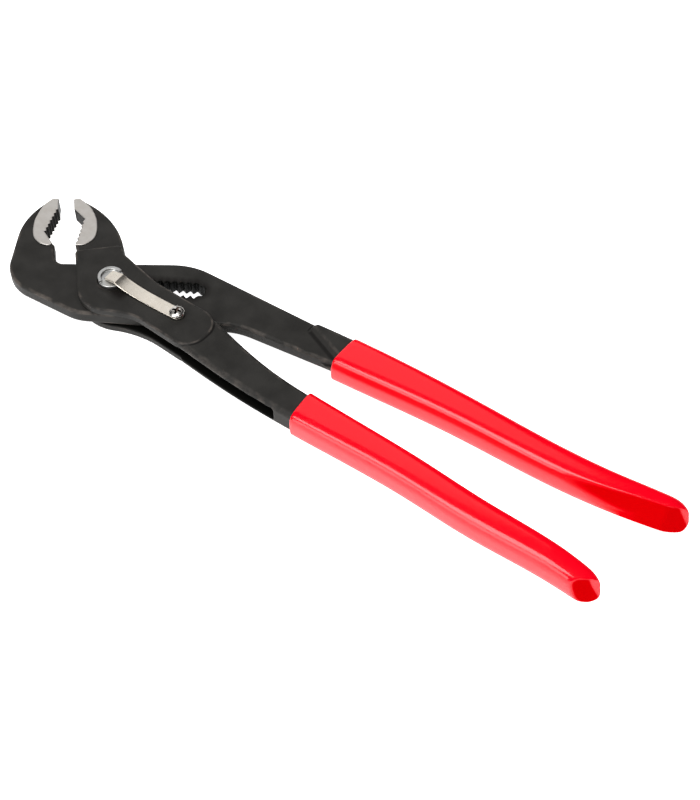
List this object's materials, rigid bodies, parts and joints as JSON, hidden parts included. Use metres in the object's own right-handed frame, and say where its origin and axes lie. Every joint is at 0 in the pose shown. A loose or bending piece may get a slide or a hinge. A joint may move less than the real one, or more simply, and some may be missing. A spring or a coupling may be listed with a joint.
{
  "type": "water pump pliers",
  "caption": "Long water pump pliers with hooked toothed jaws, a slotted box joint, a spring-held toothed pivot pin in an adjusting slot, and dipped handles.",
  "frame": {"origin": "centre of the bounding box on its lowest plane, the back face of the joint, with the pliers lying on it in the pose of the picture", "axes": "+X from the jaws to the handle ends, +Y from the outer handle to the inner handle, +Z out of the front face that carries the leaf spring"},
  "size_m": [0.3101, 0.0793, 0.0174],
  "materials": {
    "outer_arm_black": "black oxide forging with ground bright jaw land",
    "inner_arm_black": "black oxide forging with ground bright jaw land",
    "pin_zinc": "zinc plated",
    "leaf_bright": "bright spring steel",
    "screw_plated": "bright plated",
    "outer_grip_red": "glossy dipped plastic",
    "inner_grip_red": "glossy dipped plastic"
  },
  "bodies": {
    "outer_arm": {"outer_arm": "outer_arm_black", "outer_grip": "outer_grip_red", "leaf_spring": "leaf_bright", "spring_screw": "screw_plated"},
    "pivot_pin": {"pivot_pin": "pin_zinc"},
    "inner_arm": {"inner_arm": "inner_arm_black", "inner_grip": "inner_grip_red"}
  },
  "joints": [
    {"name": "jaw_pivot", "type": "hinge", "parent": "outer_arm", "child": "pivot_pin", "pos_m": [-0.09793, -0.016, 0.0068], "axis": [0, 0, 1], "range_deg": [-3.9, 30]},
    {"name": "adjust_slide", "type": "slide", "parent": "pivot_pin", "child": "inner_arm", "axis": [-0.8339, -0.5519, 0], "range_m": [-0.0031, 0.0155]}
  ]
}
